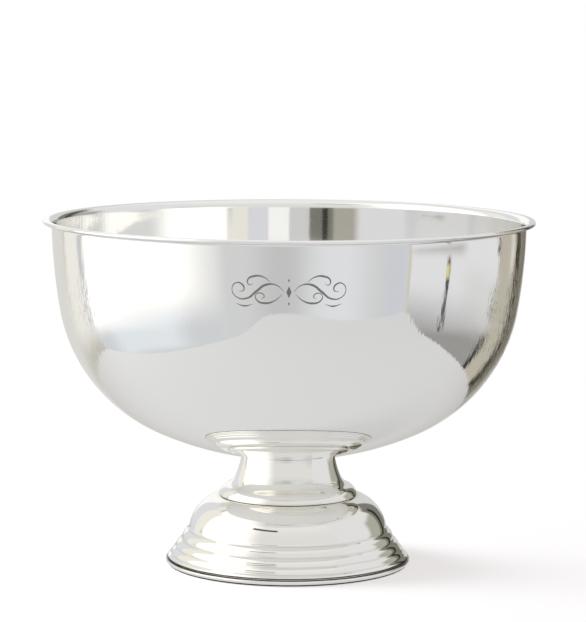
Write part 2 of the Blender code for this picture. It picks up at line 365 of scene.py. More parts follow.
def join_xyz(tree, *values):
    node = tree.nodes.new("ShaderNodeCombineXYZ")
    for socket, value in zip(node.inputs, values):
        if isinstance(value, (int, float)):
            socket.default_value = value
        else:
            tree.links.new(value, socket)
    return node.outputs[0]


def turned_place(tree):
    """Distance from the axis, compass angle in radians and height of the point being shaded."""
    place = tree.nodes.new("ShaderNodeTexCoord")
    xyz = tree.nodes.new("ShaderNodeSeparateXYZ")
    tree.links.new(place.outputs["Object"], xyz.inputs[0])
    x, y, z = xyz.outputs
    square = math_node(tree, "ADD", math_node(tree, "MULTIPLY", x, x), math_node(tree, "MULTIPLY", y, y))
    radius = math_node(tree, "SQRT", square)
    angle = math_node(tree, "ARCTAN2", y, x)
    return place.outputs["Object"], radius, angle, z


# %% effect: lathe lines
lathe_lines, knobs, gives = new_effect(
    "lathe_lines", [("Lines Per Metre", 900.0), ("Wander", 0.4)], ["Height"])
_, radius, angle, height = turned_place(lathe_lines)
around = math_node(lathe_lines, "MULTIPLY", angle, knobs["Wander"])
bands = join_xyz(lathe_lines,
                 math_node(lathe_lines, "MULTIPLY", radius, knobs["Lines Per Metre"]),
                 around,
                 math_node(lathe_lines, "MULTIPLY", height, knobs["Lines Per Metre"]))
lathe_lines.links.new(noise_node(lathe_lines, bands, 1.0, 3.0, 0.6), gives["Height"])
print("effect", lathe_lines.name)

# %% effect: polishing scratches and cloth haze
cloth_marks, knobs, gives = new_effect("cloth_marks", [("Size", 22.0)], ["Haze", "Scratches"])
place, radius, angle, height = turned_place(cloth_marks)
cloth_marks.links.new(noise_node(cloth_marks, place, knobs["Size"], 4.0, 0.55), gives["Haze"])
SCRATCHES_ROUND = 30.0         # per radian: a cloth runs round the piece, so they are long that way
SCRATCHES_PER_METRE = 900.0
slanted = join_xyz(cloth_marks,
                   math_node(cloth_marks, "MULTIPLY", angle, SCRATCHES_ROUND),
                   math_node(cloth_marks, "MULTIPLY", radius, SCRATCHES_PER_METRE),
                   math_node(cloth_marks, "MULTIPLY", height, SCRATCHES_PER_METRE))
streaks = noise_node(cloth_marks, slanted, 1.0, 2.0, 0.7)
cloth_marks.links.new(ramp_node(cloth_marks, streaks, 0.60, 0.78), gives["Scratches"])
print("effect", cloth_marks.name)

# %% effect: tarnish and painted shade along a groove
groove_shade_and_tarnish, knobs, gives = new_effect(
    "groove_shade_and_tarnish", [("Groove Height", 0.05), ("Reach", 0.001), ("Nearest", 0.0)], ["Tarnish"])
place, radius, angle, height = turned_place(groove_shade_and_tarnish)
uneven = noise_node(groove_shade_and_tarnish, place, 90.0, 3.0)
offset = math_node(groove_shade_and_tarnish, "SUBTRACT", height, knobs["Groove Height"])
away = math_node(groove_shade_and_tarnish, "ABSOLUTE", offset)
share = math_node(groove_shade_and_tarnish, "DIVIDE", away, knobs["Reach"])
near = math_node(groove_shade_and_tarnish, "SUBTRACT", 1.0, share, clamp=True)
outside = math_node(groove_shade_and_tarnish, "GREATER_THAN", radius, knobs["Nearest"])
near = math_node(groove_shade_and_tarnish, "MULTIPLY", near, outside)
thickness = math_node(groove_shade_and_tarnish, "ADD", uneven, 0.35)
amount = math_node(groove_shade_and_tarnish, "MULTIPLY", near, thickness, clamp=True)
groove_shade_and_tarnish.links.new(amount, gives["Tarnish"])
print("effect", groove_shade_and_tarnish.name)

# %% effect: beads of water
# Cold metal fogs over and the beads run into short upright trails. They are thick at the bowl's left and right
# sides, thin at the front and back and near the lip, and patchy everywhere.
COVER_GROWS = (0.04, 0.15)     # distances sideways from the middle, over which more of the wall is covered
BEADS_GROW = (0.135, 0.185)    # and over which the beads reach their full height
LIP_THINS = (0.225, 0.262)     # heights over which they shrink again, up to the lip
water_beads, knobs, gives = new_effect(
    "water_beads", [("Beads Per Metre", 450.0), ("Trail Length", 5.0), ("Cover", 0.5)], ["Height", "Wet"])
place, radius, angle, height = turned_place(water_beads)
around = math_node(water_beads, "MULTIPLY", angle, RIM_RADIUS)
trail = math_node(water_beads, "DIVIDE", 1.0, knobs["Trail Length"])
trail_space = join_xyz(water_beads, around, math_node(water_beads, "MULTIPLY", radius, trail),
                       math_node(water_beads, "MULTIPLY", height, trail))
runs_down = noise_node(water_beads, trail_space, knobs["Beads Per Metre"], 1.5, 0.5)
trails = ramp_node(water_beads, runs_down, 0.35, 0.75)
cells = water_beads.nodes.new("ShaderNodeTexVoronoi")
cells.feature = "F1"
water_beads.links.new(join_xyz(water_beads, around, radius, height), cells.inputs["Vector"])
water_beads.links.new(knobs["Beads Per Metre"], cells.inputs["Scale"])
dome = math_node(water_beads, "SUBTRACT", 1.0, ramp_node(water_beads, cells.outputs["Distance"], 0.05, 0.34))
sides = water_beads.nodes.new("ShaderNodeSeparateXYZ")
water_beads.links.new(place, sides.inputs[0])
sideways = math_node(water_beads, "ABSOLUTE", sides.outputs["X"])
from_front = ramp_node(water_beads, sideways, *COVER_GROWS)
far_side = ramp_node(water_beads, sideways, *BEADS_GROW)
patches = noise_node(water_beads, place, 30.0, 3.0, 0.6)
amount = math_node(water_beads, "ADD", math_node(water_beads, "MULTIPLY_ADD", from_front, 0.36, patches),
                   math_node(water_beads, "SUBTRACT", knobs["Cover"], 0.5))
covered = ramp_node(water_beads, amount, 0.52, 0.74)
run = math_node(water_beads, "MULTIPLY", trails, covered)
beads = math_node(water_beads, "MULTIPLY_ADD", math_node(water_beads, "MULTIPLY", dome, covered), 0.35, run)
side_share = math_node(water_beads, "MULTIPLY_ADD", far_side, 0.87, 0.13)
beads = math_node(water_beads, "MULTIPLY", beads, side_share)
near_lip = ramp_node(water_beads, height, *LIP_THINS)
lip_share = math_node(water_beads, "MULTIPLY_ADD", near_lip, -0.75, 1.0)
beads = math_node(water_beads, "MULTIPLY", beads, lip_share)
water_beads.links.new(beads, gives["Height"])
water_beads.links.new(covered, gives["Wet"])
print("effect", water_beads.name)

# %% helper: place an effect in a material
def use_effect(tree, effect, **values):
    node = tree.nodes.new("ShaderNodeGroup")
    node.node_tree = effect
    for label, value in values.items():
        node.inputs[label.replace("_", " ")].default_value = value
    return node.outputs


def new_finish(name, roughness, metallic):
    finish = bpy.data.materials.new(name)
    finish.use_nodes = True
    shader = finish.node_tree.nodes["Principled BSDF"]
    shader.inputs["Roughness"].default_value = roughness
    shader.inputs["Metallic"].default_value = metallic
    return finish, finish.node_tree, shader


def raise_surface(tree, shader, *layers):
    """Chains Bump nodes. Each layer is (height output, depth in metres)."""
    before = None
    for surface, depth in layers:
        bump = tree.nodes.new("ShaderNodeBump")
        bump.inputs["Strength"].default_value = 1.0
        bump.inputs["Distance"].default_value = depth
        tree.links.new(surface, bump.inputs["Height"])
        if before:
            tree.links.new(before, bump.inputs["Normal"])
        before = bump.outputs["Normal"]
    tree.links.new(before, shader.inputs["Normal"])


SILVER = (0.945, 0.942, 0.930, 1.0)
SILVER_WARMED_BY_REFLECTION = (0.955, 0.943, 0.905, 1.0)
# a brown for tarnish, which also paints shade into the foot's grooves
TARNISH_AND_SHADE_BROWN = (0.42, 0.35, 0.25, 1.0)
# painted shade: the darker brown below is used only for the shade painted under the lip
LIP_SHADE_DARK = (0.22, 0.19, 0.15, 1.0)

# %% bowl silver
bowl_silver, tree, shader = new_finish("bowl_silver", 0.06, 1.0)
marks = use_effect(tree, cloth_marks, Size=14.0)
lines = use_effect(tree, lathe_lines, Lines_Per_Metre=700.0, Wander=0.6)
beads = use_effect(tree, water_beads)
dulled = math_node(tree, "MULTIPLY_ADD", marks["Haze"], 0.06, 0.015)
dulled = math_node(tree, "MULTIPLY_ADD", marks["Scratches"], 0.05, dulled)
tree.links.new(dulled, shader.inputs["Roughness"])
# painted shade: a dark line is painted on the wall just under the lip's curl, where the lip shades it
LIP_CORNER = HEIGHT - 0.0040
LIP_CORNER_RADIUS = 0.1988
painted_lip_shade = use_effect(tree, groove_shade_and_tarnish,
                       Groove_Height=LIP_CORNER, Reach=0.0014, Nearest=LIP_CORNER_RADIUS)["Tarnish"]
tarnish_and_lip_shade = blend_node(tree, math_node(tree, "MULTIPLY", marks["Scratches"], 0.05), SILVER, TARNISH_AND_SHADE_BROWN)
tarnish_and_lip_shade = blend_node(tree, math_node(tree, "MULTIPLY", painted_lip_shade, 1.2, clamp=True), tarnish_and_lip_shade, LIP_SHADE_DARK)
tree.links.new(tarnish_and_lip_shade, shader.inputs["Base Color"])
raise_surface(tree, shader, (lines["Height"], 0.0000008), (beads["Height"], 0.00011))
print("finish", bowl_silver.name)

# %% foot silver
foot_silver, tree, shader = new_finish("foot_silver", 0.04, 1.0)
marks = use_effect(tree, cloth_marks, Size=40.0)
lines = use_effect(tree, lathe_lines, Lines_Per_Metre=1400.0, Wander=0.5)
dulled = math_node(tree, "MULTIPLY_ADD", marks["Haze"], 0.04, 0.01)
dulled = math_node(tree, "MULTIPLY_ADD", marks["Scratches"], 0.05, dulled)
# painted reflection: the foot's silver is warmer than the bowl's, for the warm light that the bowl's underside
# throws back onto it
colour = SILVER_WARMED_BY_REFLECTION
# each groove's painted shade and tarnish: how far it reaches and how dark it is, from the skirt's corner down
GROOVE_SHADE_AND_TARNISH = [(0.0012, 0.5), (0.0012, 0.3), (0.0011, 0.3), (0.0010, 0.3), (0.0009, 0.3)]
for (_, groove), (reach, strength) in zip([STEM_FOOT, *BEAD_GROOVES], GROOVE_SHADE_AND_TARNISH):
    shade_and_tarnish_amount = use_effect(tree, groove_shade_and_tarnish, Groove_Height=groove, Reach=reach)["Tarnish"]
    colour = blend_node(tree, math_node(tree, "MULTIPLY", shade_and_tarnish_amount, strength), colour, TARNISH_AND_SHADE_BROWN)
    dulled = math_node(tree, "MULTIPLY_ADD", shade_and_tarnish_amount, 0.08, dulled)
# painted shade: the gap between the flare and the base ring is deep, and its shade is painted black into the
# colour
RING_GAP_HEIGHT = 0.0052
RING_GAP_RADIUS = 0.09
GAP_SHADE_BLACK = (0.05, 0.045, 0.038, 1.0)
painted_gap_shade = use_effect(tree, groove_shade_and_tarnish,
                      Groove_Height=RING_GAP_HEIGHT, Reach=0.0013, Nearest=RING_GAP_RADIUS)["Tarnish"]
painted_gap_shade = math_node(tree, "MULTIPLY", painted_gap_shade, 3.0, clamp=True)
colour = blend_node(tree, painted_gap_shade, colour, GAP_SHADE_BLACK)
tree.links.new(dulled, shader.inputs["Roughness"])
tree.links.new(colour, shader.inputs["Base Color"])
raise_surface(tree, shader, (lines["Height"], 0.0000006))
print("finish", foot_silver.name)

# %% [markdown]
# ## Turning, as on a lathe
# Bowl, stem and foot are spun from flat sheet: a former's outline, turned round once. The same is done here.
# A plane is merged to one point, the point is spun round each arc's centre in turn, which draws the outline,
# and the outline is spun round the axis. Solidify then gives the sheet its thickness.

# %% helper: draw an outline with spins
PENCIL = 0.01


def start_outline(name, radius, height):
    """A plane merged into a single point, moved to where the outline starts. Leaves edit mode on."""
    clear_selection()
    bpy.ops.mesh.primitive_plane_add(size=PENCIL, location=(0, 0, 0))
    piece = bpy.context.object
    piece.name = name
    piece.data.name = name
    bpy.ops.object.mode_set(mode="EDIT")
    bpy.ops.mesh.select_all(action="SELECT")
    bpy.ops.mesh.merge(type="CENTER")
    bpy.ops.transform.translate(value=(radius, 0, height))
    return piece


def draw_arc(centre, degrees, steps):
    """Spins the selected end point about a centre. Above 0 is anticlockwise, with the axis on the left."""
    bpy.ops.mesh.spin(steps=steps, angle=math.radians(degrees),
                      center=(centre[0], 0, centre[1]), axis=(0, 1, 0))


def draw_line(start, end, steps=1):
    step = ((end[0] - start[0]) / steps, 0, (end[1] - start[1]) / steps)
    for _ in range(steps):
        bpy.ops.mesh.extrude_region_move(TRANSFORM_OT_translate={"value": step})


def draw_bow(start, end, bulge, steps):
    """An arc between two points. bulge is its height over half its chord, below 0 to bow outward going down."""
    half_x = (end[0] - start[0]) / 2
    half_z = (end[1] - start[1]) / 2
    reach = (1 - bulge * bulge) / (2 * bulge)
    centre = (start[0] + half_x - half_z * reach, start[1] + half_z + half_x * reach)
    draw_arc(centre, math.degrees(4 * math.atan(bulge)), steps)


# %% helper: turn an outline round the axis
MERGE = 0.000004


def turn_round(piece, steps):
    """Spins the drawn outline once round and closes the seam and any pole."""
    bpy.ops.mesh.select_all(action="SELECT")
    bpy.ops.mesh.spin(steps=steps, angle=2 * math.pi, center=(0, 0, 0), axis=(0, 0, 1))
    bpy.ops.mesh.select_all(action="SELECT")
    bpy.ops.mesh.remove_doubles(threshold=MERGE)
    bpy.ops.mesh.normals_make_consistent(inside=False)
    bpy.ops.object.mode_set(mode="OBJECT")
    return piece


def apply_modifier(piece, kind, **settings):
    bpy.context.view_layer.objects.active = piece
    modifier = piece.modifiers.new(kind.lower(), kind)
    for setting, value in settings.items():
        setattr(modifier, setting, value)
    bpy.ops.object.modifier_apply(modifier=modifier.name)


def shade(piece, degrees=35):
    clear_selection()
    piece.select_set(True)
    bpy.context.view_layer.objects.active = piece
    bpy.ops.object.shade_smooth_by_angle(angle=math.radians(degrees))


def hand_over(piece, finish, node):
    """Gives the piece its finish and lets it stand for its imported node."""
    piece.data.materials.clear()
    piece.data.materials.append(finish)
    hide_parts(node)
    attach(piece, "root")
    size = [round(v * 1000, 1) for v in piece.dimensions]
    print(piece.name, "is", size, "mm,", len(piece.data.polygons), "faces")


# %% [markdown]
# ## The bowl
# One sheet, spun over a former. Three arcs that run into each other make its side: a shallow basin, a round
# shoulder and a nearly upright wall. At the top the sheet turns out into a level lip, whose edge is curled
# under so that it is stiff and smooth to the hand.

# %% bowl: centres of the arcs
BOWL_BOTTOM = 0.0893
BASIN_RADIUS, BASIN_SLOPE = 0.26825, 0.435
SHOULDER_RADIUS, SHOULDER_SLOPE = 0.1348, 1.407
WALL_RADIUS = 0.483
FLARE_RADIUS = 0.006
CURL_RADIUS = 0.00175

basin = Vector((0.0, BOWL_BOTTOM + BASIN_RADIUS))
outward = Vector((math.sin(BASIN_SLOPE), -math.cos(BASIN_SLOPE)))
shoulder = basin + (BASIN_RADIUS - SHOULDER_RADIUS) * outward
outward = Vector((math.sin(SHOULDER_SLOPE), -math.cos(SHOULDER_SLOPE)))
wall = shoulder + (SHOULDER_RADIUS - WALL_RADIUS) * outward
flare_bottom = HEIGHT - FLARE_RADIUS
wall_inside = WALL_RADIUS - BOWL_SHEET
wall_end = math.asin((flare_bottom - wall.y) / wall_inside)
wall_top = wall.x + wall_inside * math.cos(wall_end)
flare = Vector((wall_top + FLARE_RADIUS * math.cos(wall_end), flare_bottom))
curl = Vector((RIM_RADIUS - CURL_RADIUS, HEIGHT - CURL_RADIUS))
print("wall meets the flare at radius", round(wall_top, 4))

# %% bowl: draw and turn it
ROUND_STEPS = 288

bowl = start_outline("spun_bowl", curl.x - CURL_RADIUS, curl.y)
draw_arc(curl, 270, 24)
draw_line((curl.x, HEIGHT), (flare.x, HEIGHT))
draw_arc(flare, 90, 12)
draw_arc(wall, math.degrees(SHOULDER_SLOPE - wall_end) - 90, 16)
draw_arc(shoulder, math.degrees(BASIN_SLOPE - SHOULDER_SLOPE), 36)
draw_arc(basin, -math.degrees(BASIN_SLOPE), 20)
turn_round(bowl, ROUND_STEPS)
apply_modifier(bowl, "SOLIDIFY", thickness=BOWL_SHEET, offset=-1.0, use_even_offset=True)
shade(bowl)
print("bowl spun,", len(bowl.data.polygons), "faces")

# %% [markdown]
# ## The engraving
# A hand engraver cuts the ornament with a pointed graver, so each stroke is a V-shaped groove that swells and
# thins. A flat ribbon of dark paint would be quicker, but it has no depth. Here each stroke is a curve with a
# four-sided bevel and a width at each point. It is made a mesh, wrapped round the wall, and cut out of it.
# The ornament is a plain one: a lozenge between two mirrored scrolls.

# %% engraving: the strokes
ORNAMENT_HEIGHT = 0.2480       # of the ornament's middle above the table
GRAVER = 0.00095               # half the width of the widest stroke
GRAVER_SLOPE = 0.42            # depth of a cut over half its width
MM = 0.001
# each stroke: across and up from the middle in millimetres, and the pressure on the graver
STROKES = [
    [(3.6, 0.4, 0.15), (9.5, 5.4, 0.45), (17.5, 5.6, 0.95), (25.0, 0.2, 1.0), (32.0, -5.0, 0.75),
     (39.5, -4.6, 0.45), (43.6, 1.2, 0.35), (40.6, 6.6, 0.5), (35.4, 5.4, 0.7), (34.6, 1.2, 0.5),
     (38.2, 0.2, 0.15)],
    [(5.0, -1.6, 0.15), (10.5, -6.4, 0.5), (17.5, -8.6, 0.9), (24.0, -6.8, 0.6), (25.4, -2.6, 0.35),
     (21.4, -0.8, 0.5), (18.8, -3.6, 0.45), (21.0, -5.2, 0.15)],
    [(14.0, 7.6, 0.15), (19.0, 11.4, 0.5), (26.0, 12.2, 0.9), (31.4, 9.0, 0.6), (30.2, 5.4, 0.4),
     (27.0, 6.6, 0.15)],
    [(27.5, -9.4, 0.12), (34.0, -11.0, 0.7), (41.0, -9.0, 0.12)],
]
LOZENGES = [((0.0, 0.0), (2.3, 5.4)), ((0.0, 9.0), (0.9, 1.6)), ((0.0, -9.0), (0.9, 1.6))]


def graver_stroke(points, side):
    """One stroke as a closed mesh, still flat: across is X, up is Y and depth is Z."""
    clear_selection()
    bpy.ops.curve.primitive_bezier_curve_add(radius=MM, location=(0, 0, 0))
    stroke = bpy.context.object
    line = stroke.data
    line.twist_mode = "Z_UP"
    line.bevel_depth = GRAVER
    line.bevel_resolution = 0
    line.resolution_u = 10
    line.use_fill_caps = True
    spline = line.splines[0]
    spline.bezier_points.add(len(points) - len(spline.bezier_points))
    for knot, (across, up, pressure) in zip(spline.bezier_points, points):
        knot.co = (side * across * MM, up * MM, 0.0)
        knot.radius = pressure
        knot.handle_left_type = knot.handle_right_type = "AUTO"
    bpy.ops.object.convert(target="MESH")
    return bpy.context.object


def wall_reach(height):
    """Distance of the wall's outer side from the axis at a height."""
    return wall.x + math.sqrt(WALL_RADIUS ** 2 - (height - wall.y) ** 2)


def wrap_on_wall(cutter):
    """Bends a flat cutter round the wall, with its depth flattened to the graver's."""
    for point in cutter.data.vertices:
        height = ORNAMENT_HEIGHT + point.co.y
        turn = point.co.x / wall_reach(ORNAMENT_HEIGHT)
        reach = wall_reach(height) + point.co.z * GRAVER_SLOPE
        point.co = (reach * math.sin(turn), -reach * math.cos(turn), height)
    clear_selection()
    cutter.select_set(True)
    bpy.context.view_layer.objects.active = cutter
    bpy.ops.object.mode_set(mode="EDIT")
    bpy.ops.mesh.select_all(action="SELECT")
    bpy.ops.mesh.remove_doubles(threshold=MERGE)
    bpy.ops.mesh.normals_make_consistent(inside=False)
    bpy.ops.object.mode_set(mode="OBJECT")


def join_cutters(name, parts):
    clear_selection()
    for part in parts:
        part.select_set(True)
    bpy.context.view_layer.objects.active = parts[0]
    bpy.ops.object.join()
    cutter = bpy.context.object
    cutter.name = name
    wrap_on_wall(cutter)
    return cutter


cutters = [join_cutters("stroke_cutter", [graver_stroke(points, side) for side in (-1, 1)])
           for points in STROKES]
lozenges = []
for (across, up), (half_width, half_height) in LOZENGES:
    clear_selection()
    bpy.ops.mesh.primitive_uv_sphere_add(segments=4, ring_count=2, radius=1.0,
                                         location=(across * MM, up * MM, 0))
    lozenge = bpy.context.object
    lozenge.scale = (half_width * MM, half_height * MM, GRAVER)
    bpy.ops.object.transform_apply(location=True, rotation=True, scale=True)
    lozenges.append(lozenge)
cutters.append(join_cutters("lozenge_cutter", lozenges))
print(len(cutters), "cutters for the ornament")

# %% engraving: the finish inside a cut
graver_cut, tree, shader = new_finish("graver_cut", 0.35, 1.0)
marks = use_effect(tree, cloth_marks, Size=300.0)
tree.links.new(blend_node(tree, marks["Haze"], (0.16, 0.155, 0.15, 1.0), (0.34, 0.33, 0.31, 1.0)),
               shader.inputs["Base Color"])
tree.links.new(math_node(tree, "MULTIPLY_ADD", marks["Haze"], 0.25, 0.2), shader.inputs["Roughness"])
print("finish", graver_cut.name)

# %% [markdown]
# A Boolean leaves odd-shaped faces beside each cut, and on a mirror they would show as dents. So a copy of
# the uncut bowl is kept, and its smooth normals are handed back to the wall afterwards.

# %% engraving: cut it
bowl.data.materials.clear()
bowl.data.materials.append(bowl_silver)
clear_selection()
bowl.select_set(True)
bpy.context.view_layer.objects.active = bowl
bpy.ops.object.duplicate()
uncut = bpy.context.object
uncut.name = "uncut_bowl"

for cutter in cutters:
    cutter.data.materials.clear()
    cutter.data.materials.append(graver_cut)
    apply_modifier(bowl, "BOOLEAN", object=cutter, operation="DIFFERENCE", solver="EXACT",
                   material_mode="TRANSFER")
    bpy.data.objects.remove(cutter)
shade(bowl)

cut_points = {i for face in bowl.data.polygons if face.material_index > 0 for i in face.vertices}
wall_points = {i for face in bowl.data.polygons if face.material_index == 0 for i in face.vertices}
inside_cuts = cut_points - wall_points
smooth_part = bowl.vertex_groups.new(name="wall")
smooth_part.add([p.index for p in bowl.data.vertices if p.index not in inside_cuts], 1.0, "REPLACE")
apply_modifier(bowl, "DATA_TRANSFER", object=uncut, use_loop_data=True, data_types_loops={"CUSTOM_NORMAL"},
               loop_mapping="POLYINTERP_NEAREST", vertex_group="wall")
bpy.data.objects.remove(uncut)
print("engraved faces", len([f for f in bowl.data.polygons if f.material_index > 0]),
      "finishes", [m.name for m in bowl.data.materials])

# %% bowl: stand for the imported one
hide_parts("bowl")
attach(bowl, "root")
print("bowl is", [round(v * 1000, 1) for v in bowl.dimensions], "mm")

# %% [markdown]
# ## Stem and foot
# The stem is a trumpet that opens into a skirt with a round step. The foot below it is a dome, three beads
# and a flare. Both are thinner sheet than the bowl, spun in the same way, so they are open underneath. Sheet
# doesn't go round a former with sharp corners, so the points near the foot's grooves are smoothed a little.

# %% stem
STEM_TOP_RADIUS = 0.0389


def underside(radius):
    """Height of the bowl's outer side, this far from the axis."""
    return BOWL_BOTTOM + BASIN_RADIUS - math.sqrt(BASIN_RADIUS ** 2 - radius ** 2)


def draw_legs(start, legs):
    """Bows one after another. Each leg is (end, bulge, steps), with bulge 0 for a straight one."""
    for end, bulge, steps in legs:
        if bulge:
            draw_bow(start, end, bulge, steps)
        else:
            draw_line(start, end, steps)
        start = end


stem_top = (STEM_TOP_RADIUS, underside(STEM_TOP_RADIUS) - GAP)
stem = start_outline("trumpet_stem", *stem_top)
draw_legs(stem_top, [
    ((0.0445, 0.0716), 0.098, 12),
    ((0.0520, 0.0655), 0.156, 12),
    (STEM_FOOT, -0.257, 16),
])
turn_round(stem, ROUND_STEPS)
apply_modifier(stem, "SOLIDIFY", thickness=FOOT_SHEET, offset=-1.0, use_even_offset=True)
shade(stem)
hand_over(stem, foot_silver, "stem")

# %% foot
DOME_TOP = STEM_FOOT[1] - GAP
COLLAR_RADIUS = 0.0500
COLLAR_HEIGHT = 0.0035
SOFT_REACH = 0.0016            # of the smoothing round each groove
collar = (COLLAR_RADIUS, DOME_TOP + COLLAR_HEIGHT)
foot = start_outline("stepped_foot", *collar)
draw_legs(collar, [
    ((COLLAR_RADIUS, DOME_TOP), 0, 1),
    ((0.0585, DOME_TOP - 0.0002), 0, 2),
    ((0.0745, 0.0474), -0.160, 12),
    (BEAD_GROOVES[0], -0.139, 12),
    (BEAD_GROOVES[1], -0.293, 16),
    (BEAD_GROOVES[2], -0.220, 12),
    (BEAD_GROOVES[3], -0.200, 12),
    ((0.1005, 0.0057), -0.143, 8),
])
select_points(foot, lambda co: min((co - Vector((x, 0, z))).length for x, z in BEAD_GROOVES) < SOFT_REACH)
bpy.ops.mesh.vertices_smooth(factor=0.5, repeat=6)
turn_round(foot, ROUND_STEPS)
apply_modifier(foot, "SOLIDIFY", thickness=FOOT_SHEET, offset=-1.0, use_even_offset=True)
shade(foot, 25)
hand_over(foot, foot_silver, "foot_dome")

# %% base ring
RING_TOP = 0.0046
RING_BOTTOM = 0.0011
RING_BULGE = 0.0014
RING_FACE = FOOT_RADIUS - RING_BULGE
RING_WIDTH = 0.0024
ring_start = (RING_FACE, RING_TOP)
ring = start_outline("base_wire", *ring_start)
draw_legs(ring_start, [
    ((RING_FACE, RING_BOTTOM), -(FOOT_RADIUS - RING_FACE) * 2 / (RING_TOP - RING_BOTTOM), 16),
    ((RING_FACE - RING_WIDTH, RING_BOTTOM), 0, 1),
    ((RING_FACE - RING_WIDTH, RING_TOP), 0, 1),
    (ring_start, 0, 1),
])
turn_round(ring, ROUND_STEPS)
shade(ring)
hand_over(ring, foot_silver, "base_ring")

# %% [markdown]
# ## What holds it together
# Under the bowl a thick brass boss carries a stud. The stud passes through a brass disc brazed into the stem,
# and a nut on a flat and a split washer pulls bowl and foot together. These are standard parts, so they get
# what such parts have: broken edges, a rolled thread, a slanted split, and chamfered corners on the nut.

# %% finishes: bare brass, zinc plated steel, rubber
bare_brass, tree, shader = new_finish("bare_brass", 0.35, 1.0)
marks = use_effect(tree, cloth_marks, Size=120.0)
lines = use_effect(tree, lathe_lines, Lines_Per_Metre=2600.0, Wander=0.3)
tree.links.new(blend_node(tree, marks["Haze"], (0.52, 0.33, 0.12, 1.0), (0.80, 0.61, 0.29, 1.0)),
               shader.inputs["Base Color"])
tree.links.new(math_node(tree, "MULTIPLY_ADD", marks["Haze"], 0.30, 0.18), shader.inputs["Roughness"])
raise_surface(tree, shader, (lines["Height"], 0.000006))

zinc_steel, tree, shader = new_finish("zinc_steel", 0.35, 1.0)
marks = use_effect(tree, cloth_marks, Size=260.0)
tree.links.new(blend_node(tree, marks["Haze"], (0.42, 0.43, 0.45, 1.0), (0.70, 0.71, 0.70, 1.0)),
               shader.inputs["Base Color"])
tree.links.new(math_node(tree, "MULTIPLY_ADD", marks["Haze"], 0.34, 0.16), shader.inputs["Roughness"])
raise_surface(tree, shader, (marks["Haze"], 0.00001))

black_rubber, tree, shader = new_finish("black_rubber", 0.7, 0.0)
marks = use_effect(tree, cloth_marks, Size=400.0)
tree.links.new(blend_node(tree, marks["Haze"], (0.018, 0.018, 0.018, 1.0), (0.045, 0.044, 0.042, 1.0)),
               shader.inputs["Base Color"])
raise_surface(tree, shader, (marks["Haze"], 0.00006))
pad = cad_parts["base_pad"]
pad.data.materials.clear()
pad.data.materials.append(black_rubber)
print("finishes", bare_brass.name, zinc_steel.name, black_rubber.name)

# %% boss
BORE = 0.0043
BOSS_RADIUS = 0.0280
BOSS_BOTTOM = 0.0835
SMALL_STEPS = 96


def break_edges(piece, width):
    apply_modifier(piece, "BEVEL", width=width, segments=2,
                   limit_method="ANGLE", angle_limit=math.radians(40))


clear_of_bowl = BASIN_RADIUS + GAP
boss_start = (BORE, basin.y - math.sqrt(clear_of_bowl ** 2 - BORE ** 2))
boss_edge = (BOSS_RADIUS, basin.y - math.sqrt(clear_of_bowl ** 2 - BOSS_RADIUS ** 2))
boss = start_outline("brass_boss", *boss_start)
seat = math.asin(BOSS_RADIUS / clear_of_bowl) - math.asin(BORE / clear_of_bowl)
draw_arc(basin, math.degrees(seat), 6)
draw_legs(boss_edge, [((BOSS_RADIUS, BOSS_BOTTOM), 0, 1), ((BORE, BOSS_BOTTOM), 0, 1), (boss_start, 0, 1)])
turn_round(boss, SMALL_STEPS)
break_edges(boss, 0.0004)
shade(boss)
hand_over(boss, bare_brass, "boss_plate")

# %% flat rings: bridge disc and flat washer
def flat_ring(name, outer, top, thickness, edge):
    start = (BORE, top)
    piece = start_outline(name, *start)
    draw_legs(start, [((outer, top), 0, 1), ((outer, top - thickness), 0, 1), ((BORE, top - thickness), 0, 1),
                      (start, 0, 1)])
    turn_round(piece, SMALL_STEPS)
    break_edges(piece, edge)
    shade(piece)
    return piece


BRIDGE_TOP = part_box("bridge_plate")[1].z
BRIDGE_THICKNESS = 0.0030
bridge = flat_ring("brazed_bridge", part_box("bridge_plate")[1].x, BRIDGE_TOP, BRIDGE_THICKNESS, 0.0003)
hand_over(bridge, bare_brass, "bridge_plate")

WASHER_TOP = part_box("flat_washer")[1].z
WASHER_THICKNESS = 0.0016
washer = flat_ring("flat_washer_m8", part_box("flat_washer")[1].x, WASHER_TOP, WASHER_THICKNESS, 0.0002)
hand_over(washer, zinc_steel, "flat_washer")

# %% [markdown]
# The spring washer is a square wire wound once, with a slanted gap. A square is spun almost all the way round
# and its two ends are filled. Then each point is turned about the axis, more the higher it is.

# %% spring washer
SPRING_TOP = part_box("lock_washer")[1].z
SPRING_THICKNESS = 0.0021
SPRING_OUTER = 0.0070
SPRING_GAP = math.radians(14)
SPRING_SLANT = math.radians(16)

clear_selection()
wire_middle = ((SPRING_OUTER + BORE) / 2, 0, SPRING_TOP - SPRING_THICKNESS / 2)
bpy.ops.mesh.primitive_plane_add(size=1.0, location=wire_middle, rotation=(math.pi / 2, 0, 0))
spring = bpy.context.object
spring.name = "spring_washer"
spring.scale = (SPRING_OUTER - BORE, SPRING_THICKNESS, 1.0)
bpy.ops.object.transform_apply(location=True, rotation=True, scale=True)
bpy.ops.object.mode_set(mode="EDIT")
bpy.ops.mesh.select_all(action="SELECT")
bpy.ops.mesh.delete(type="ONLY_FACE")
bpy.ops.mesh.select_all(action="SELECT")
bpy.ops.mesh.spin(steps=SMALL_STEPS, angle=2 * math.pi - SPRING_GAP, center=(0, 0, 0), axis=(0, 0, 1))
bpy.ops.mesh.select_all(action="DESELECT")
bpy.ops.mesh.select_non_manifold(extend=False)
bpy.ops.mesh.edge_face_add()
bpy.ops.mesh.select_all(action="SELECT")
bpy.ops.mesh.normals_make_consistent(inside=False)
bpy.ops.object.mode_set(mode="OBJECT")
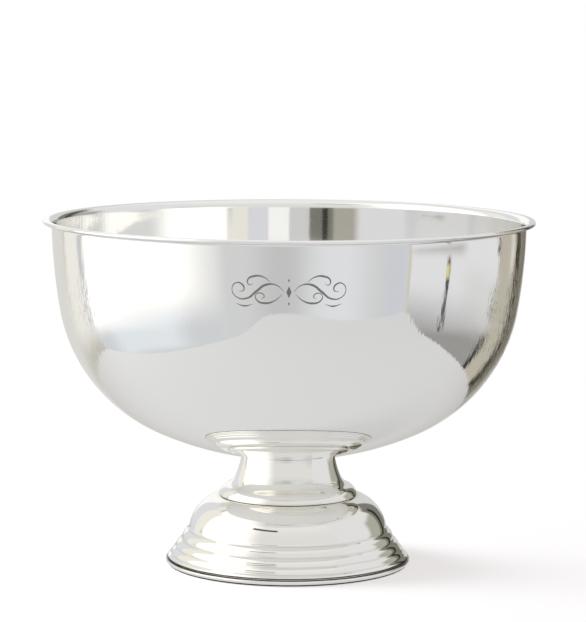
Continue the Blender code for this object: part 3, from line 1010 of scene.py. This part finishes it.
for point in spring.data.vertices:
    lift = (point.co.z - SPRING_TOP + SPRING_THICKNESS / 2) / SPRING_THICKNESS
    point.co = Matrix.Rotation(SPRING_SLANT * lift, 3, "Z") @ point.co
break_edges(spring, 0.00015)
shade(spring)
hand_over(spring, zinc_steel, "lock_washer")

# %% [markdown]
# ## Stud
# A rolled M8 thread. A cylinder gets many rings, and every point's distance from the axis then follows the
# thread's form at its height and angle: one turn lifts it by one pitch.

# %% stud
STUD_RADIUS = 0.0040
STUD_BOTTOM, STUD_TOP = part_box("mount_stud")[0].z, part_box("mount_stud")[1].z
PITCH = 0.00125
THREAD_DEPTH = 0.00070
RINGS_PER_TURN = 10
STUD_SIDES = 32
LEAD_IN = 0.0009

stud_length = STUD_TOP - STUD_BOTTOM
clear_selection()
bpy.ops.mesh.primitive_cylinder_add(vertices=STUD_SIDES, radius=STUD_RADIUS, depth=stud_length,
                                    end_fill_type="NGON", location=(0, 0, (STUD_TOP + STUD_BOTTOM) / 2))
stud = bpy.context.object
stud.name = "threaded_stud"
bpy.ops.object.transform_apply(location=True, rotation=True, scale=True)
bpy.ops.object.mode_set(mode="EDIT")
bpy.ops.mesh.select_mode(type="EDGE")
bpy.ops.object.mode_set(mode="OBJECT")
for face in stud.data.polygons:
    face.select = False
for edge in stud.data.edges:
    low, high = (stud.data.vertices[i].co.z for i in edge.vertices)
    edge.select = abs(low - high) > stud_length / 2
bpy.ops.object.mode_set(mode="EDIT")
bpy.ops.mesh.subdivide(number_cuts=int(stud_length / PITCH * RINGS_PER_TURN))
bpy.ops.mesh.select_mode(type="VERT")
bpy.ops.object.mode_set(mode="OBJECT")
for point in stud.data.vertices:
    turns = point.co.z / PITCH - math.atan2(point.co.y, point.co.x) / (2 * math.pi)
    flank = abs(2 * (turns % 1.0) - 1.0)
    from_end = min(point.co.z - STUD_BOTTOM, STUD_TOP - point.co.z)
    lead = max(0.0, LEAD_IN - from_end)
    reach = min(STUD_RADIUS - THREAD_DEPTH * flank, STUD_RADIUS - lead)
    point.co.xy = point.co.xy.normalized() * reach
shade(stud, 50)
hand_over(stud, zinc_steel, "mount_stud")

# %% [markdown]
# ## Nut
# A six-sided cylinder. Its corners are taken down by a turned double cone, which leaves the curved chamfer
# that every real nut has, and its middle is bored with a small countersink.

# %% nut
NUT_FLATS = 0.0130
NUT_TOP, NUT_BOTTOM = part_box("hex_nut")[1].z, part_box("hex_nut")[0].z
NUT_CHAMFER = math.radians(30)
CUT_CLEAR = 0.0005
COUNTERSINK = 0.0004


def cut_with(piece, cutter, operation, **settings):
    apply_modifier(piece, "BOOLEAN", object=cutter, operation=operation, solver="EXACT", **settings)
    bpy.data.objects.remove(cutter)


clear_selection()
nut_middle = (NUT_TOP + NUT_BOTTOM) / 2
bpy.ops.mesh.primitive_cylinder_add(vertices=6, radius=NUT_FLATS / math.sqrt(3), depth=NUT_TOP - NUT_BOTTOM,
                                    location=(0, 0, nut_middle))
nut = bpy.context.object
nut.name = "hexagon_nut"
bpy.ops.object.transform_apply(location=True, rotation=True, scale=True)

spread = NUT_FLATS / math.sqrt(3) + CUT_CLEAR
fall = (spread - NUT_FLATS / 2) * math.tan(NUT_CHAMFER)
tip = NUT_FLATS / 2 * math.tan(NUT_CHAMFER)
cone_start = (0.0, NUT_TOP + tip)
cone = start_outline("nut_cone", *cone_start)
draw_legs(cone_start, [((spread, NUT_TOP - fall), 0, 1), ((spread, NUT_BOTTOM + fall), 0, 1),
                       ((0.0, NUT_BOTTOM - tip), 0, 1)])
turn_round(cone, SMALL_STEPS)
cut_with(nut, cone, "INTERSECT")

bore_start = (0.0, NUT_TOP + CUT_CLEAR)
bore = start_outline("nut_bore", *bore_start)
draw_legs(bore_start, [((BORE + COUNTERSINK + CUT_CLEAR, NUT_TOP + CUT_CLEAR), 0, 1),
                       ((BORE, NUT_TOP - COUNTERSINK), 0, 1), ((BORE, NUT_BOTTOM + COUNTERSINK), 0, 1),
                       ((BORE + COUNTERSINK + CUT_CLEAR, NUT_BOTTOM - CUT_CLEAR), 0, 1),
                       ((0.0, NUT_BOTTOM - CUT_CLEAR), 0, 1)])
turn_round(bore, SMALL_STEPS)
cut_with(nut, bore, "DIFFERENCE")
shade(nut)
hand_over(nut, zinc_steel, "hex_nut")

# %% [markdown]
# ## Which pieces the lamp's shadow comes from
# A retouched product picture keeps only the shadow at the foot, not the wide one of the bowl above it. Light
# linking does the same: the lamp is blocked only by the pieces in one collection, and the bowl isn't in it.

# %% shadow casters
shadow_casters = bpy.data.collections.new("shadow_casters")
for piece in (stem, foot, ring):
    shadow_casters.objects.link(piece)
lamp_stand.light_linking.blocker_collection = shadow_casters
